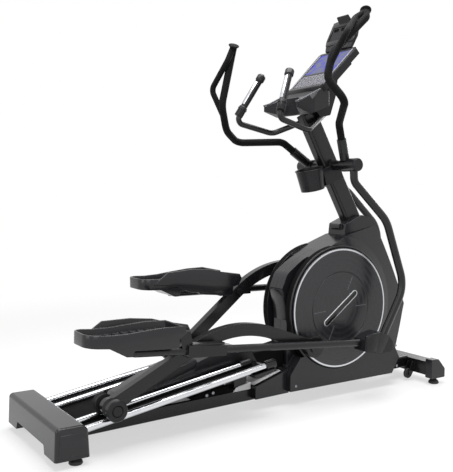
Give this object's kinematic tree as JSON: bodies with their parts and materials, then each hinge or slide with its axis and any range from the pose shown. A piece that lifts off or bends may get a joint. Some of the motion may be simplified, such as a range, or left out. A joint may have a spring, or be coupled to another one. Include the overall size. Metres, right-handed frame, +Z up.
{
  "type": "elliptical trainer",
  "caption": "Elliptical trainer with rail rollers, coupled pedals and swing handles, round drive housing, console and fixed pulse handlebar",
  "frame": {"origin": "on the floor under the middle of the machine's length and width", "axes": "+X forward to the front stabilizer, +Y to the user's left, +Z up"},
  "size_m": [1.9894, 0.635, 1.7185],
  "materials": {
    "charcoal_paint": "fine satin powder coat",
    "housing_plastic": "fine satin grain",
    "chrome_rail": "polished",
    "silver_trim": "satin",
    "black_plastic": "satin",
    "foam": "matt foam",
    "rubber": "matt",
    "steel": "machined",
    "screen_glass": "gloss, lit",
    "keys": "satin"
  },
  "bodies": {
    "frame": {"main_beam": "charcoal_paint", "rear_stabilizer": "charcoal_paint", "front_stabilizer": "charcoal_paint", "front_stabilizer_caps": "black_plastic", "rails_right": "chrome_rail", "rails_left": "chrome_rail", "rear_foot_cover": "black_plastic", "rail_bridge": "charcoal_paint", "rail_guard": "black_plastic", "beam_cover": "black_plastic", "housing_right": "housing_plastic", "housing_left": "housing_plastic", "mast_collar": "black_plastic", "mast": "charcoal_paint", "pivot_axle": "charcoal_paint", "bottle_holder": "black_plastic", "console_shell": "black_plastic", "console_bezel": "black_plastic", "console_screen": "screen_glass", "key_panel": "keys", "console_tray": "black_plastic", "console_neck": "black_plastic", "tablet_holder": "black_plastic", "handlebar": "charcoal_paint", "pulse_grips": "black_plastic", "pulse_sensors": "silver_trim"},
    "crank": {"crank_axle": "steel", "crank_disc_right": "black_plastic", "crank_disc_left": "black_plastic", "disc_ring_right": "silver_trim", "disc_ring_left": "silver_trim"},
    "right_swing": {"swing_arm_right": "charcoal_paint", "handle_right": "charcoal_paint", "handle_grip_right": "foam", "hub_cap_right": "black_plastic"},
    "right_carriage": {"roller_axle_right": "black_plastic"},
    "right_rollers": {"rail_rollers_right": "rubber"},
    "right_rail_arm": {"rail_arm_right": "charcoal_paint"},
    "right_pedal_arm": {"pedal_arm_right": "charcoal_paint", "pedal_right": "black_plastic", "knuckle_cover_right": "black_plastic"},
    "right_thumb_button": {"thumb_button_right": "silver_trim"},
    "right_transport_wheel": {"transport_wheel_right": "rubber"},
    "right_rear_foot": {"rear_foot_right": "rubber"},
    "right_front_foot": {"front_foot_right": "rubber"},
    "left_swing": {"swing_arm_left": "charcoal_paint", "handle_left": "charcoal_paint", "handle_grip_left": "foam", "hub_cap_left": "black_plastic"},
    "left_carriage": {"roller_axle_left": "black_plastic"},
    "left_rollers": {"rail_rollers_left": "rubber"},
    "left_rail_arm": {"rail_arm_left": "charcoal_paint"},
    "left_pedal_arm": {"pedal_arm_left": "charcoal_paint", "pedal_left": "black_plastic", "knuckle_cover_left": "black_plastic"},
    "left_thumb_button": {"thumb_button_left": "silver_trim"},
    "left_transport_wheel": {"transport_wheel_left": "rubber"},
    "left_rear_foot": {"rear_foot_left": "rubber"},
    "left_front_foot": {"front_foot_left": "rubber"}
  },
  "joints": [
    {"name": "crank_spin", "type": "hinge", "parent": "frame", "child": "crank", "pos_m": [0.4065, 0, 0.403], "axis": [0, 1, 0], "continuous": true},
    {"name": "right_swing", "type": "hinge", "parent": "frame", "child": "right_swing", "pos_m": [0.418, 0, 1.04], "axis": [0, -1, 0], "range_deg": [-3.7, 37.4]},
    {"name": "right_roll", "type": "slide", "parent": "frame", "child": "right_carriage", "axis": [0.9879, 0, 0.1551], "range_m": [-0.0515, 0.5157]},
    {"name": "right_arm_tilt", "type": "hinge", "parent": "right_carriage", "child": "right_rail_arm", "pos_m": [-0.74195, 0, 0.15771], "axis": [0, -1, 0], "range_deg": [-1.44, 14.11]},
    {"name": "right_pedal_tilt", "type": "hinge", "parent": "right_rail_arm", "child": "right_pedal_arm", "pos_m": [-0.38492, 0, 0.32995], "axis": [0, -1, 0], "range_deg": [-10.42, 1.08]},
    {"name": "right_roller_spin", "type": "hinge", "parent": "right_carriage", "child": "right_rollers", "pos_m": [-0.74195, 0, 0.15771], "axis": [0, 1, 0], "continuous": true},
    {"name": "right_wheel_spin", "type": "hinge", "parent": "frame", "child": "right_transport_wheel", "pos_m": [0.876, -0.07, 0.034], "axis": [0, 1, 0], "continuous": true},
    {"name": "right_thumb_press", "type": "slide", "parent": "frame", "child": "right_thumb_button", "axis": [-0.4374, -0.2705, -0.8576], "range_m": [0, 0.0015], "stiffness_N_per_m": 600},
    {"name": "right_rear_foot_turn", "type": "hinge", "parent": "frame", "child": "right_rear_foot", "pos_m": [-0.896, -0.23, 0], "axis": [0, 0, 1], "continuous": true},
    {"name": "right_front_foot_turn", "type": "hinge", "parent": "frame", "child": "right_front_foot", "pos_m": [0.938, -0.178, 0], "axis": [0, 0, 1], "continuous": true},
    {"name": "left_swing", "type": "hinge", "parent": "frame", "child": "left_swing", "pos_m": [0.418, 0, 1.04], "axis": [0, -1, 0], "range_deg": [-37.45, 3.75]},
    {"name": "left_roll", "type": "slide", "parent": "frame", "child": "left_carriage", "axis": [0.9879, 0, 0.1551], "range_m": [-0.5157, 0.0515]},
    {"name": "left_arm_tilt", "type": "hinge", "parent": "left_carriage", "child": "left_rail_arm", "pos_m": [-0.28259, 0, 0.22981], "axis": [0, -1, 0], "range_deg": [-14.11, 1.44]},
    {"name": "left_pedal_tilt", "type": "hinge", "parent": "left_rail_arm", "child": "left_pedal_arm", "pos_m": [0.02789, 0, 0.47625], "axis": [0, -1, 0], "range_deg": [-1.08, 10.42]},
    {"name": "left_roller_spin", "type": "hinge", "parent": "left_carriage", "child": "left_rollers", "pos_m": [-0.28259, 0, 0.22981], "axis": [0, 1, 0], "continuous": true},
    {"name": "left_wheel_spin", "type": "hinge", "parent": "frame", "child": "left_transport_wheel", "pos_m": [0.876, 0.07, 0.034], "axis": [0, 1, 0], "continuous": true},
    {"name": "left_thumb_press", "type": "slide", "parent": "frame", "child": "left_thumb_button", "axis": [-0.4374, 0.2705, -0.8576], "range_m": [0, 0.0015], "stiffness_N_per_m": 600},
    {"name": "left_rear_foot_turn", "type": "hinge", "parent": "frame", "child": "left_rear_foot", "pos_m": [-0.896, 0.23, 0], "axis": [0, 0, 1], "continuous": true},
    {"name": "left_front_foot_turn", "type": "hinge", "parent": "frame", "child": "left_front_foot", "pos_m": [0.938, 0.178, 0], "axis": [0, 0, 1], "continuous": true}
  ],
  "couplings": [
    {"joint": "right_roll", "follows": "right_swing", "m_per_rad": 0.78922},
    {"joint": "right_arm_tilt", "follows": "right_swing", "ratio": 0.37582},
    {"joint": "right_pedal_tilt", "follows": "right_swing", "ratio": -0.27717},
    {"joint": "left_swing", "follows": "right_swing", "ratio": -1},
    {"joint": "left_roll", "follows": "right_swing", "m_per_rad": -0.78922},
    {"joint": "left_arm_tilt", "follows": "right_swing", "ratio": -0.37582},
    {"joint": "left_pedal_tilt", "follows": "right_swing", "ratio": 0.27717}
  ]
}
